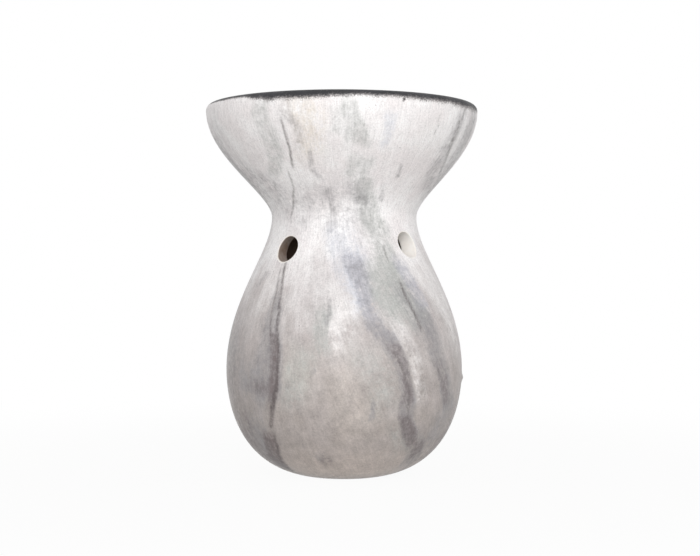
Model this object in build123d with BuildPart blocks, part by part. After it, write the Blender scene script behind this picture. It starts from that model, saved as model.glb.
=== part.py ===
from build123d import *
import os
from math import cos, hypot, radians, sin, sqrt

# A ceramic oil burner: a hollow pear-shaped body with a doorway at the back and two smoke vents in its neck,
# a flared oil bowl luted into the neck, and a tealight that stands on the chamber floor.
# Millimetres, +Z up. The origin is the middle of the foot, the front faces -Y and the doorway faces +Y.

# Outside of both castings: radii and heights at the foot, belly, waist and rim
HEIGHT = 120.0
RIM_RADIUS = 44.2
WAIST_RADIUS = 23.6
WAIST_HEIGHT = 83.9
BELLY_RADIUS = 38.4
BELLY_HEIGHT = 34.4
FOOT_RADIUS = 12.8
HEEL_ANGLE = 8.7

# Pulls of those curves: how far each carries on in its own direction before it turns, as a share of its
# rise, or of its run across where it lies nearly level
RIM_PULL_SHARE = 0.433
WAIST_UPPER_PULL_SHARE = 0.213
WAIST_LOWER_PULL_SHARE = 0.234
BELLY_UPPER_PULL_SHARE = 0.457
BELLY_LOWER_PULL_SHARE = 0.297
HEEL_PULL_SHARE = 0.875

# Foot: a flat ring round a shallow recess
FOOT_RING_WIDTH = 3.3
FOOT_RECESS_DEPTH = 1.0

# Chamber inside the body
BODY_WALL = 4.6
FLOOR_THICKNESS = 7.0
FLOOR_PULL_SHARE = 0.34
CHAMBER_HEEL_PULL_SHARE = 0.42

# Doorway at the back, and the vents drilled into the front of the neck
DOORWAY_HEIGHT = 43.0
DOORWAY_CORNER = 4.0
DOORWAY_EDGE = 1.0
VENT_RADIUS = 4.0
VENT_EDGE = 0.4
VENT_AZIMUTH = 46.5
LEFT_VENT_DROP = 10.8
RIGHT_VENT_DROP = 9.4

# Oil bowl
BOWL_WALL = 3.8
BOWL_FLOOR = 4.6
BOWL_FLAT_RADIUS = 8.0
BOWL_FLAT_PULL_SHARE = 0.31
BOWL_RIM_PULL_SHARE = 0.33
SPIGOT_DEPTH = 3.5

# Tealight
CUP_RADIUS = 19.0
CUP_BASE_RADIUS = 18.6
CUP_HEIGHT = 16.0
CUP_SHEET = 0.3
CUP_CORNER = 1.2
CUP_BEAD_RADIUS = 0.5
WAX_DEPTH = 12.0
WAX_EDGE = 0.6
SUSTAINER_RADIUS = 6.5
SUSTAINER_SHEET = 0.3
COLLAR_HEIGHT = 3.0
WICK_RADIUS = 0.9
WICK_BARE_LENGTH = 5.0
WICK_BEND_RADIUS = 9.0
WICK_BEND_ANGLE = 25.0

# Clearances
SPIGOT_CLEARANCE = 0.15
FLOOR_ROOM = 1.0
DOORWAY_ROOM = 3.5
WAX_SHRINKAGE = 0.1
CRIMP_CLEARANCE = 0.05
OVERRUN = 5.0

# The heel leaves the foot at a low angle and turns upright at the belly
heel_pull = HEEL_PULL_SHARE * (BELLY_RADIUS - FOOT_RADIUS)
heel_turn = (
    FOOT_RADIUS + heel_pull * cos(radians(HEEL_ANGLE)),
    heel_pull * sin(radians(HEEL_ANGLE)),
)
belly_lower_pull = BELLY_LOWER_PULL_SHARE * BELLY_HEIGHT

# A curve that ends upright has a radius of 1.5 times its pull squared over its run across. A wall inside
# it keeps the same run, so its pull is shorter at the belly, which bulges, and longer at the hollow waist.
belly_inner_radius = BELLY_RADIUS - BODY_WALL
neck_radius = WAIST_RADIUS - BODY_WALL
shoulder_rise = WAIST_HEIGHT - BELLY_HEIGHT
belly_upper_pull = BELLY_UPPER_PULL_SHARE * shoulder_rise
waist_lower_pull = WAIST_LOWER_PULL_SHARE * shoulder_rise
pull_change = BODY_WALL * (BELLY_RADIUS - WAIST_RADIUS) / 1.5
belly_inner_pull = sqrt(belly_upper_pull**2 - pull_change)
neck_inner_pull = sqrt(waist_lower_pull**2 + pull_change)

# The tealight's rolled rim sets the room that the chamber floor and the doorway give it
cup_rim_radius = CUP_RADIUS - CUP_SHEET + 2 * CUP_BEAD_RADIUS
floor_radius = cup_rim_radius + FLOOR_ROOM
floor_pull = FLOOR_PULL_SHARE * (belly_inner_radius - floor_radius)
chamber_heel_pull = CHAMBER_HEEL_PULL_SHARE * (BELLY_HEIGHT - FLOOR_THICKNESS)
doorway_half_width = cup_rim_radius + DOORWAY_ROOM
doorway_spring = FLOOR_THICKNESS + DOORWAY_HEIGHT - doorway_half_width
doorway_top = FLOOR_THICKNESS + DOORWAY_HEIGHT

# The lip is a half round over the bowl's wall, and the spigot closes the neck below the joint at the waist
lip_height = HEIGHT - BOWL_WALL / 2
rim_pull = RIM_PULL_SHARE * (lip_height - WAIST_HEIGHT)
waist_upper_pull = WAIST_UPPER_PULL_SHARE * (lip_height - WAIST_HEIGHT)
spigot_radius = neck_radius - SPIGOT_CLEARANCE
spigot_bottom = WAIST_HEIGHT - SPIGOT_DEPTH
bowl_bottom = spigot_bottom + BOWL_FLOOR
bowl_inner_radius = RIM_RADIUS - BOWL_WALL
bowl_rim_pull = BOWL_RIM_PULL_SHARE * (lip_height - bowl_bottom)
bowl_flat_pull = BOWL_FLAT_PULL_SHARE * (bowl_inner_radius - BOWL_FLAT_RADIUS)

# The tealight stands on the chamber floor
cup_bottom = FLOOR_THICKNESS
cup_top = cup_bottom + CUP_HEIGHT
cup_floor = cup_bottom + CUP_SHEET
wax_top = cup_floor + WAX_DEPTH
wax_taper = (CUP_RADIUS - CUP_BASE_RADIUS) * (wax_top - cup_bottom) / CUP_HEIGHT
wax_bottom_radius = CUP_BASE_RADIUS - CUP_SHEET - WAX_SHRINKAGE
collar_bore = WICK_RADIUS + CRIMP_CLEARANCE
collar_radius = collar_bore + SUSTAINER_SHEET

os.makedirs("parts", exist_ok=True)

# Burner body: the outside turned as a solid, then the doorway, the chamber, the vents and the foot recess
with BuildPart() as burner_body:
    with BuildSketch(Plane.XZ):
        with BuildLine():
            Line((0, 0), (FOOT_RADIUS, 0))
            Bezier(
                (FOOT_RADIUS, 0),
                heel_turn,
                (BELLY_RADIUS, BELLY_HEIGHT - belly_lower_pull),
                (BELLY_RADIUS, BELLY_HEIGHT),
            )
            Bezier(
                (BELLY_RADIUS, BELLY_HEIGHT),
                (BELLY_RADIUS, BELLY_HEIGHT + belly_upper_pull),
                (WAIST_RADIUS, WAIST_HEIGHT - waist_lower_pull),
                (WAIST_RADIUS, WAIST_HEIGHT),
            )
            Polyline((WAIST_RADIUS, WAIST_HEIGHT), (0, WAIST_HEIGHT), (0, 0))
        make_face()
    revolve(axis=Axis.Z)

    # Doorway: a round arch over a sill that is level with the chamber floor
    with BuildSketch(Plane((0, 0, 0), x_dir=(-1, 0, 0), z_dir=(0, 1, 0))) as doorway:
        with BuildLine():
            Polyline(
                (-doorway_half_width, doorway_spring),
                (-doorway_half_width, FLOOR_THICKNESS),
                (doorway_half_width, FLOOR_THICKNESS),
                (doorway_half_width, doorway_spring),
            )
            ThreePointArc(
                (doorway_half_width, doorway_spring),
                (0, doorway_top),
                (-doorway_half_width, doorway_spring),
            )
        make_face()
        fillet(doorway.vertices().group_by(Axis.Y)[0], DOORWAY_CORNER)
    extrude(amount=BELLY_RADIUS + OVERRUN, mode=Mode.SUBTRACT)
    doorway_rim = burner_body.edges(Select.LAST).filter_by(lambda edge: edge.bounding_box().min.Y > 0)
    fillet(doorway_rim, DOORWAY_EDGE)

    # Chamber: a level floor for the tealight, then a wall that follows the outside up to the open neck
    with BuildSketch(Plane.XZ):
        with BuildLine():
            Line((0, FLOOR_THICKNESS), (floor_radius, FLOOR_THICKNESS))
            Bezier(
                (floor_radius, FLOOR_THICKNESS),
                (floor_radius + floor_pull, FLOOR_THICKNESS),
                (belly_inner_radius, BELLY_HEIGHT - chamber_heel_pull),
                (belly_inner_radius, BELLY_HEIGHT),
            )
            Bezier(
                (belly_inner_radius, BELLY_HEIGHT),
                (belly_inner_radius, BELLY_HEIGHT + belly_inner_pull),
                (neck_radius, WAIST_HEIGHT - neck_inner_pull),
                (neck_radius, WAIST_HEIGHT),
            )
            Polyline((neck_radius, WAIST_HEIGHT), (0, WAIST_HEIGHT), (0, FLOOR_THICKNESS))
        make_face()
    revolve(axis=Axis.Z, mode=Mode.SUBTRACT)

    # Vents: two holes drilled through the front of the neck into the chamber
    for azimuth, drop in ((-VENT_AZIMUTH, LEFT_VENT_DROP), (VENT_AZIMUTH, RIGHT_VENT_DROP)):
        across = (cos(radians(azimuth)), sin(radians(azimuth)), 0)
        outwards = (sin(radians(azimuth)), -cos(radians(azimuth)), 0)
        with BuildSketch(Plane((0, 0, WAIST_HEIGHT - drop), x_dir=across, z_dir=outwards)):
            Circle(VENT_RADIUS)
        extrude(amount=BELLY_RADIUS, mode=Mode.SUBTRACT)
        vent_rims = burner_body.edges(Select.LAST).filter_by(GeomType.LINE, reverse=True)
        outer_rim = vent_rims.sort_by(lambda edge: hypot(edge.center().X, edge.center().Y))[-1]
        fillet(outer_rim, VENT_EDGE)

    # Foot recess
    with BuildSketch(Plane.XY):
        Circle(FOOT_RADIUS - FOOT_RING_WIDTH)
    extrude(amount=FOOT_RECESS_DEPTH, mode=Mode.SUBTRACT)

burner_body.part.label = "burner_body"
export_step(burner_body.part, "parts/burner_body.step")

# Oil bowl: its shoulder rests on the neck at the waist and its spigot closes the neck
with BuildPart() as oil_bowl:
    with BuildSketch(Plane.XZ):
        with BuildLine():
            Polyline(
                (0, bowl_bottom),
                (0, spigot_bottom),
                (spigot_radius, spigot_bottom),
                (spigot_radius, WAIST_HEIGHT),
                (WAIST_RADIUS, WAIST_HEIGHT),
            )
            Bezier(
                (WAIST_RADIUS, WAIST_HEIGHT),
                (WAIST_RADIUS, WAIST_HEIGHT + waist_upper_pull),
                (RIM_RADIUS, lip_height - rim_pull),
                (RIM_RADIUS, lip_height),
            )
            ThreePointArc(
                (RIM_RADIUS, lip_height),
                (RIM_RADIUS - BOWL_WALL / 2, HEIGHT),
                (bowl_inner_radius, lip_height),
            )
            Bezier(
                (bowl_inner_radius, lip_height),
                (bowl_inner_radius, lip_height - bowl_rim_pull),
                (BOWL_FLAT_RADIUS + bowl_flat_pull, bowl_bottom),
                (BOWL_FLAT_RADIUS, bowl_bottom),
            )
            Line((BOWL_FLAT_RADIUS, bowl_bottom), (0, bowl_bottom))
        make_face()
    revolve(axis=Axis.Z)

oil_bowl.part.label = "oil_bowl"
export_step(oil_bowl.part, "parts/oil_bowl.step")

# Tealight cup: a drawn cup that widens a little upwards, with a rounded bottom corner and a rolled rim
with BuildPart() as tealight_cup:
    with BuildSketch(Plane.XZ) as cup_section:
        with BuildLine():
            Polyline(
                (0, cup_bottom),
                (CUP_BASE_RADIUS, cup_bottom),
                (CUP_RADIUS, cup_top - CUP_BEAD_RADIUS),
                (CUP_RADIUS - CUP_SHEET, cup_top - CUP_BEAD_RADIUS),
                (CUP_BASE_RADIUS - CUP_SHEET, cup_floor),
                (0, cup_floor),
                close=True,
            )
        make_face()
        floor_corner = cup_section.vertices().group_by(Axis.Y)[1].sort_by(Axis.X)[-1]
        fillet(floor_corner, CUP_CORNER - CUP_SHEET)
        base_corner = cup_section.vertices().group_by(Axis.Y)[0].sort_by(Axis.X)[-1]
        fillet(base_corner, CUP_CORNER)
        with Locations((CUP_RADIUS - CUP_SHEET + CUP_BEAD_RADIUS, cup_top - CUP_BEAD_RADIUS)):
            Circle(CUP_BEAD_RADIUS)
    revolve(axis=Axis.Z)

tealight_cup.part.label = "tealight_cup"
export_step(tealight_cup.part, "parts/tealight_cup.step")

# Wick sustainer: a stamped disc on the cup's floor, with a collar crimped round the wick
with BuildPart() as wick_sustainer:
    with BuildSketch(Plane.XY.offset(cup_floor)):
        Circle(SUSTAINER_RADIUS)
        Circle(collar_bore, mode=Mode.SUBTRACT)
    extrude(amount=SUSTAINER_SHEET)
    with BuildSketch(Plane.XY.offset(cup_floor)):
        Circle(collar_radius)
        Circle(collar_bore, mode=Mode.SUBTRACT)
    extrude(amount=COLLAR_HEIGHT)

wick_sustainer.part.label = "wick_sustainer"
export_step(wick_sustainer.part, "parts/wick_sustainer.step")

# Wick: straight through the wax, with its free end bent over
with BuildPart() as tealight_wick:
    with BuildLine(Plane.XZ) as wick_path:
        Line((0, cup_floor), (0, wax_top + WICK_BARE_LENGTH))
        JernArc((0, wax_top + WICK_BARE_LENGTH), (0, 1), WICK_BEND_RADIUS, -WICK_BEND_ANGLE)
    with BuildSketch(Plane.XY.offset(cup_floor)):
        Circle(WICK_RADIUS)
    sweep(path=wick_path.wire())

tealight_wick.part.label = "tealight_wick"
export_step(tealight_wick.part, "parts/tealight_wick.step")

# Wax: it has shrunk a little off the cup's wall, and is cast round the sustainer and the wick
with BuildPart() as tealight_wax:
    with BuildSketch(Plane.XZ) as wax_section:
        with BuildLine():
            Polyline(
                (0, cup_floor),
                (wax_bottom_radius, cup_floor),
                (wax_bottom_radius + wax_taper, wax_top),
                (0, wax_top),
                close=True,
            )
        make_face()
        base_corner = wax_section.vertices().group_by(Axis.Y)[0].sort_by(Axis.X)[-1]
        fillet(base_corner, CUP_CORNER)
        top_corner = wax_section.vertices().group_by(Axis.Y)[-1].sort_by(Axis.X)[-1]
        fillet(top_corner, WAX_EDGE)
    revolve(axis=Axis.Z)
    with BuildSketch(Plane.XY.offset(cup_floor)):
        Circle(SUSTAINER_RADIUS + CRIMP_CLEARANCE)
    extrude(amount=SUSTAINER_SHEET + CRIMP_CLEARANCE, mode=Mode.SUBTRACT)
    with BuildSketch(Plane.XY.offset(cup_floor)):
        Circle(collar_radius + CRIMP_CLEARANCE)
    extrude(amount=COLLAR_HEIGHT + CRIMP_CLEARANCE, mode=Mode.SUBTRACT)
    with BuildSketch(Plane.XY.offset(cup_floor)):
        Circle(WICK_RADIUS + CRIMP_CLEARANCE)
    extrude(amount=WAX_DEPTH, mode=Mode.SUBTRACT)

tealight_wax.part.label = "tealight_wax"
export_step(tealight_wax.part, "parts/tealight_wax.step")
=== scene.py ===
from functools import partial

import bpy
import numpy as np
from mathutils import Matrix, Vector


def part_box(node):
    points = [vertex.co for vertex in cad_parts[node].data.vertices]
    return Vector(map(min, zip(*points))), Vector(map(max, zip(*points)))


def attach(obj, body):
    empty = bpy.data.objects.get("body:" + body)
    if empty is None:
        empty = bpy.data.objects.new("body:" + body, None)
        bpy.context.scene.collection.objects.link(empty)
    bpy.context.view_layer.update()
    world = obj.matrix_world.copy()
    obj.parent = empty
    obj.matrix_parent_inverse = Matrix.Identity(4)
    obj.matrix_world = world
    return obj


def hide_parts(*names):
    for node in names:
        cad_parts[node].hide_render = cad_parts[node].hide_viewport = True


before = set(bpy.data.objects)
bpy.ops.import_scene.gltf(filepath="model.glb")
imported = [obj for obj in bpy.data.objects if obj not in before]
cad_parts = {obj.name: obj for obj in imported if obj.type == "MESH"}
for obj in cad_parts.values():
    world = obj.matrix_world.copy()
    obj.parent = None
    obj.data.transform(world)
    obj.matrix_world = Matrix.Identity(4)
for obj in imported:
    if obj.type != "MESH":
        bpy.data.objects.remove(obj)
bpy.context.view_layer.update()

# Camera: a level view from the height of the body's shoulder, a little to the left of the front.
# Its distance and lens come from how the photograph's outline narrows from the rim to the foot.
CAMERA_DISTANCE = 0.4514
CAMERA_HEIGHT = 0.064
CAMERA_AZIMUTH = np.radians(-4.0)
CAMERA_AIM_RIGHT = 0.0019
CAMERA_LENS = 70.9


def new_object(name, data):
    """An object of that name in the scene, with its mesh, lamp or camera."""
    made = bpy.data.objects.new(name, data)
    bpy.context.scene.collection.objects.link(made)
    return made


camera = new_object("camera", bpy.data.cameras.new("camera"))
bpy.context.scene.camera = camera
camera.data.lens = CAMERA_LENS
camera_right = Vector((np.cos(CAMERA_AZIMUTH), np.sin(CAMERA_AZIMUTH), 0))
camera_back = Vector((np.sin(CAMERA_AZIMUTH), -np.cos(CAMERA_AZIMUTH), 0))
camera.location = camera_back * CAMERA_DISTANCE + Vector((0, 0, CAMERA_HEIGHT))
camera_aim = camera_right * CAMERA_AIM_RIGHT + Vector((0, 0, CAMERA_HEIGHT))
camera.rotation_euler = (camera_aim - camera.location).to_track_quat("-Z", "Y").to_euler()

# Burner body: a hollow slip-cast pear of white earthenware, glazed and marbled outside and bare inside.
# The doorway is cut in its back, and two vents are drilled into the chamber through the front of its neck.
MM = 0.001
COLUMNS = 360
belly_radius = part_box("burner_body")[1].x / MM
waist_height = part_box("burner_body")[1].z / MM
WAIST_RADIUS = 23.6
BELLY_HEIGHT = 34.4
FOOT_RADIUS = 12.8
FOOT_RECESS_RADIUS = 9.5
FOOT_RECESS_DEPTH = 1.0
FOOT_EDGE = 0.3
HEEL_TURN = (34.94, 3.39)
BELLY_LOWER_PULL = 10.22
BELLY_UPPER_PULL = 22.62
WAIST_LOWER_PULL = 11.58
BODY_WALL = 4.6
FLOOR_HEIGHT = 7.0
FLOOR_RADIUS = 20.7
FLOOR_PULL = 4.45
CHAMBER_HEEL_PULL = 11.51
CHAMBER_BELLY_PULL = 21.59
NECK_PULL = 13.4
POLE_RADIUS = 0.6
CURVE_STEPS = 120


def curve(points, t=np.linspace(0, 1, CURVE_STEPS)):
    """A cubic curve from the first point to the last, leaving towards the second, coming from the third."""
    t = t[:, None]
    start, leave, arrive, end = np.array(points, float)
    return start * (1 - t) ** 3 + 3 * leave * t * (1 - t) ** 2 + 3 * arrive * t**2 * (1 - t) + end * t**3


def run_along(points):
    """The length of the line through the points, measured from the first of them to each one."""
    return np.concatenate([[0], np.cumsum(np.hypot(*np.diff(points, axis=0).T))])


def around(radius, turn, height):
    """Points at a distance from the axis, at a turn from the front, -Y, towards +X, and at a height."""
    parts = np.broadcast_arrays(radius * np.sin(turn), -radius * np.cos(turn), height)
    return np.stack(parts, axis=-1).reshape(-1, 3)


def ease(x):
    """0 up to 0, 1 from 1 on, and between them x squared times (3 - 2x), which starts and ends level."""
    x = np.clip(x, 0, 1)
    return x * x * (3 - 2 * x)


foot_side = np.array([
    (POLE_RADIUS, FOOT_RECESS_DEPTH),
    (FOOT_RECESS_RADIUS - FOOT_EDGE, FOOT_RECESS_DEPTH),
    (FOOT_RECESS_RADIUS, FOOT_RECESS_DEPTH - FOOT_EDGE),
    (FOOT_RECESS_RADIUS, FOOT_EDGE),
    (FOOT_RECESS_RADIUS + FOOT_EDGE, 0),
])
heel = curve([
    (FOOT_RADIUS, 0),
    HEEL_TURN,
    (belly_radius, BELLY_HEIGHT - BELLY_LOWER_PULL),
    (belly_radius, BELLY_HEIGHT),
])
shoulder = curve([
    (belly_radius, BELLY_HEIGHT),
    (belly_radius, BELLY_HEIGHT + BELLY_UPPER_PULL),
    (WAIST_RADIUS, waist_height - WAIST_LOWER_PULL),
    (WAIST_RADIUS, waist_height),
])
chamber_floor = np.array([(POLE_RADIUS, FLOOR_HEIGHT), (FLOOR_RADIUS, FLOOR_HEIGHT)])
chamber_heel = curve([
    (FLOOR_RADIUS, FLOOR_HEIGHT),
    (FLOOR_RADIUS + FLOOR_PULL, FLOOR_HEIGHT),
    (belly_radius - BODY_WALL, BELLY_HEIGHT - CHAMBER_HEEL_PULL),
    (belly_radius - BODY_WALL, BELLY_HEIGHT),
])
chamber_shoulder = curve([
    (belly_radius - BODY_WALL, BELLY_HEIGHT),
    (belly_radius - BODY_WALL, BELLY_HEIGHT + CHAMBER_BELLY_PULL),
    (WAIST_RADIUS - BODY_WALL, waist_height - NECK_PULL),
    (WAIST_RADIUS - BODY_WALL, waist_height),
])


class Wall:
    """A turned wall as a grid: each point has an azimuth and a place along the wall's profile, so a point can
    slide over the surface and stay on it. Azimuth is in degrees from the front, -Y, towards +X."""

    def __init__(self, base, side, base_runs, low_rows, levels):
        self.profile = np.concatenate([base, side])
        self.run = run_along(self.profile)
        self.side_heights = side[:, 1]
        self.side_runs = self.run[len(base):]
        low_runs = np.linspace(base_runs[-1], self.run_at(levels[0]), low_rows + 2)[1:-1]
        rows = np.concatenate([base_runs, low_runs, self.run_at(levels)])
        self.first_level = len(base_runs) + low_rows
        self.along = np.repeat(rows[:, None], COLUMNS, axis=1)
        self.azimuth = np.repeat(np.arange(COLUMNS)[None, :] * 360 / COLUMNS, len(rows), axis=0)
        self.kept = np.ones((len(rows) - 1, COLUMNS), bool)

    def run_at(self, height):
        """Where the side reaches a height, as a length along the profile."""
        return np.interp(height, self.side_heights, self.side_runs)

    def depth(self, across, height):
        """How far out the wall is, at a distance across from an opening's middle: Pythagoras."""
        radius = np.interp(self.run_at(height), self.run, self.profile[:, 0])
        return np.sqrt(radius**2 - across**2)

    def open_block(self, block, margin, azimuth, along):
        """Moves the border of a block of cells to an opening's edge and takes the cells out. The points round
        it follow the nearest point of the border, less and less up to the margin."""
        low, high, left, right = block
        edge_row, edge_column = block_border(block)
        turn = np.zeros_like(self.azimuth)
        slide = np.zeros_like(self.along)
        turn[edge_row, edge_column] = azimuth - self.azimuth[edge_row, edge_column]
        slide[edge_row, edge_column] = along - self.along[edge_row, edge_column]
        row, column = np.indices(self.along.shape)
        near_row = np.clip(row, low, high)
        near_column = np.clip(column, left, right)
        away = np.maximum(abs(row - near_row) / margin[0], abs(column - near_column) / margin[1])
        follow = ease(1 - away)
        self.azimuth = self.azimuth + follow * turn[near_row, near_column]
        self.along = self.along + follow * slide[near_row, near_column]
        self.kept[low:high, left:right] = False

    def points(self):
        """The grid's points, row after row."""
        radius = np.interp(self.along, self.run, self.profile[:, 0])
        height = np.interp(self.along, self.run, self.profile[:, 1])
        return around(radius, np.radians(self.azimuth), height)


def block_border(block):
    """Rows and columns round a block of the grid, from the middle of its low side towards rising azimuth."""
    low, high, left, right = block
    start = (low, (left + right) // 2)
    turns = np.array([start, (low, right), (high, right), (high, left), (low, left), start])
    sides = [np.linspace(a, b, abs(b - a).sum(), endpoint=False) for a, b in zip(turns, turns[1:])]
    return np.rint(np.concatenate(sides)).astype(int).T


def strip(first, second):
    """Quads between two closed rings of point numbers."""
    return np.stack([first, np.roll(first, -1), np.roll(second, -1), second], axis=1)


def grid_quads(rows, columns):
    """Quads of a grid whose last column joins its first, row by row."""
    number = np.arange(rows * columns).reshape(rows, columns)
    return np.concatenate([strip(number[i], number[i + 1]) for i in range(rows - 1)])


def fan(middle, ring):
    """Triangles from one point to each step of a closed ring of point numbers."""
    return np.stack([np.full(len(ring), middle), ring, np.roll(ring, -1)], axis=1)


# Both walls have the same levels, closer together at the floor's edge and at the joint
LEVEL_EASE = 3.0
FLOOR_LEVELS, SIDE_LEVELS, JOINT_LEVELS = 10, 96, 8
HEEL_ROWS = 22
FLOOR_ROWS = 13
levels = np.concatenate([
    FLOOR_HEIGHT + LEVEL_EASE * np.linspace(0, 1, FLOOR_LEVELS, endpoint=False) ** 2,
    np.linspace(FLOOR_HEIGHT + LEVEL_EASE, waist_height - LEVEL_EASE, SIDE_LEVELS),
    waist_height - LEVEL_EASE * np.linspace(0, 1, JOINT_LEVELS, endpoint=False)[::-1] ** 2,
])
body_side = np.concatenate([heel, shoulder[1:]])
chamber_side = np.concatenate([chamber_floor[1:], chamber_heel[1:], chamber_shoulder[1:]])
outside = Wall(foot_side, body_side, run_along(foot_side), HEEL_ROWS, levels)
inside = Wall(chamber_floor[:1], chamber_side, np.zeros(1), FLOOR_ROWS, levels)

# Openings: each is an outline in its own upright plane, carried through the wall with rounded edges. The
# vents were drilled by hand, a little aslant.
VENT_RADIUS = 4.0
VENT_AZIMUTH = 46.5
LEFT_VENT_HEIGHT = 73.1
RIGHT_VENT_HEIGHT = 74.5
VENT_EDGE = 0.4
VENT_INNER_EDGE = 0.4
VENT_SLIP = -1.2
VENT_ROWS = 6
VENT_COLUMNS = 9
VENT_MARGIN = (7, 14)
DOORWAY_AZIMUTH = 180.0
DOORWAY_HALF_WIDTH = 23.2
DOORWAY_SPRING = 26.8
DOORWAY_CORNER = 4.0
DOORWAY_EDGE = 1.0
DOORWAY_INNER_EDGE = 0.6
DOORWAY_COLUMNS = 46
DOORWAY_MARGIN = (12, 45)
EDGE_STEPS = 5
ARCH_STEPS = 40


def vent_outline(share, height):
    """A circle from its lowest point round: across is its radius times the sine of the turn, height goes by
    the cosine. The last two columns are the direction out of the circle."""
    turn = 2 * np.pi * share
    out = np.stack([np.sin(turn), -np.cos(turn)], axis=1)
    return np.concatenate([VENT_RADIUS * out + (0, height), out], axis=1)


def doorway_outline(share):
    """Half an arch from the middle of its sill, a quarter round corner, an upright and a quarter circle, then
    the same mirrored. The last two columns are the direction out of the arch."""
    turn = np.linspace(0, np.pi / 2, ARCH_STEPS)
    corner_middle = (DOORWAY_HALF_WIDTH - DOORWAY_CORNER, FLOOR_HEIGHT + DOORWAY_CORNER)
    corner_out = np.stack([np.sin(turn), -np.cos(turn)], axis=1)
    arch_out = np.stack([np.cos(turn), np.sin(turn)], axis=1)
    half = np.concatenate([
        [(0, FLOOR_HEIGHT, 0, -1)],
        np.concatenate([corner_middle + DOORWAY_CORNER * corner_out, corner_out], axis=1),
        np.concatenate([(0, DOORWAY_SPRING) + DOORWAY_HALF_WIDTH * arch_out, arch_out], axis=1),
    ])
    whole = np.concatenate([half, half[-2::-1] * (-1, 1, -1, 1)])
    run = run_along(whole[:, :2])
    return np.stack([np.interp(share * run[-1], run, column) for column in whole.T], axis=1)


# An opening's facing, its block of cells (low and high row, left and right column), margin, outline, edges
# and how far aslant it goes
arch_top = DOORWAY_SPRING + DOORWAY_HALF_WIDTH
doorway_rows = int(np.argmin(abs(levels - arch_top)))
doorway_column = COLUMNS // 2
doorway_block = (0, doorway_rows, doorway_column - DOORWAY_COLUMNS, doorway_column + DOORWAY_COLUMNS)
openings = [
    (DOORWAY_AZIMUTH, doorway_block, DOORWAY_MARGIN, doorway_outline, DOORWAY_EDGE, DOORWAY_INNER_EDGE, 0.0),
]
for facing, height in ((360 - VENT_AZIMUTH, LEFT_VENT_HEIGHT), (VENT_AZIMUTH, RIGHT_VENT_HEIGHT)):
    row = int(np.argmin(abs(levels - height)))
    column = int(round(facing * COLUMNS / 360))
    block = (row - VENT_ROWS, row + VENT_ROWS, column - VENT_COLUMNS, column + VENT_COLUMNS)
    shape = partial(vent_outline, height=height)
    openings.append((facing, block, VENT_MARGIN, shape, VENT_EDGE, VENT_INNER_EDGE, VENT_SLIP))

rims = []
for facing, block, margin, shape, edge, inner_edge, slip in openings:
    count = 2 * (block[1] - block[0] + block[3] - block[2])
    across, height, out_across, out_height = shape(np.arange(count) / count).T
    rounded = inner_edge * ease((height - FLOOR_HEIGHT) / DOORWAY_CORNER)
    rings = []
    for wall, grow, aside in ((outside, np.full(count, edge), 0.0), (inside, rounded, slip)):
        here = across + aside
        wide, tall = here + grow * out_across, height + grow * out_height
        inwards = -edge if wall is outside else inner_edge
        bend = np.stack([
            np.stack([wide, wall.depth(wide, tall), tall]),
            np.stack([here, wall.depth(here, height), height]),
            np.stack([here, wall.depth(here, height) + inwards, height]),
        ])
        t = np.linspace(0, 1, EDGE_STEPS + 1)[1:, None, None]
        round_off = bend[0] * (1 - t) ** 2 + 2 * bend[1] * t * (1 - t) + bend[2] * t**2
        rings.extend(round_off if wall is outside else round_off[::-1])
        numbered = (block[0] + wall.first_level, block[1] + wall.first_level, block[2], block[3])
        wall.open_block(
            numbered,
            margin,
            facing + np.degrees(np.arcsin(wide / np.hypot(wide, wall.depth(wide, tall)))),
            wall.run_at(tall),
        )
    rims.append((facing, block, np.array(rings)))

points = [outside.points(), inside.points()]

# A bead of glaze has run and set on the right of the belly
BEAD_AZIMUTH = 81.0
BEAD_HEIGHT = 31.7
BEAD_HALF_TALL = 1.9
BEAD_HALF_WIDE = 1.5
BEAD_PROUD = 0.45
bead_across = np.radians(outside.azimuth.ravel() - BEAD_AZIMUTH) * belly_radius / BEAD_HALF_WIDE
bead_above = (points[0][:, 2] - BEAD_HEIGHT) / BEAD_HALF_TALL
bead = BEAD_PROUD * ease(1 - np.hypot(bead_across, bead_above)) / belly_radius
points[0][:, :2] *= 1 + bead[:, None]
inside_start = len(points[0])
outer_quads = grid_quads(len(outside.along), COLUMNS)[outside.kept.ravel()]
inner_quads = grid_quads(len(inside.along), COLUMNS)[inside.kept.ravel()][:, ::-1] + inside_start
total = inside_start + len(points[1])
foot_ring = np.arange(COLUMNS)
floor_ring = foot_ring + inside_start
joint_quads = strip(foot_ring + inside_start - COLUMNS, foot_ring + total - COLUMNS)
rim_quads = []
for facing, block, rings in rims:
    turn = np.radians(facing)
    across, out, height = rings.transpose(1, 0, 2)
    x = across * np.cos(turn) + out * np.sin(turn)
    y = across * np.sin(turn) - out * np.cos(turn)
    points.append(np.stack([x, y, height], axis=2).reshape(-1, 3))
    row, column = block_border(block)
    chain = [(row + outside.first_level) * COLUMNS + column]
    chain.extend(total + np.arange(rings.shape[0] * rings.shape[2]).reshape(rings.shape[0], -1))
    chain.append((row + inside.first_level) * COLUMNS + column + inside_start)
    rim_quads.extend(strip(chain[i], chain[i + 1]) for i in range(len(chain) - 1))
    total += rings.shape[0] * rings.shape[2]
rim_quads = np.concatenate(rim_quads)
points.append(np.array([(0, 0, FOOT_RECESS_DEPTH), (0, 0, FLOOR_HEIGHT)]))
foot_fan = fan(total, foot_ring)[:, ::-1]
floor_fan = fan(total + 1, floor_ring)
body_points = np.concatenate(points)
bare_rows = int(np.sum(np.interp(outside.along[:-1, 0], outside.run, outside.profile[:, 0]) < FOOT_RADIUS))


SHARP_ABOVE = np.radians(40.0)


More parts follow.
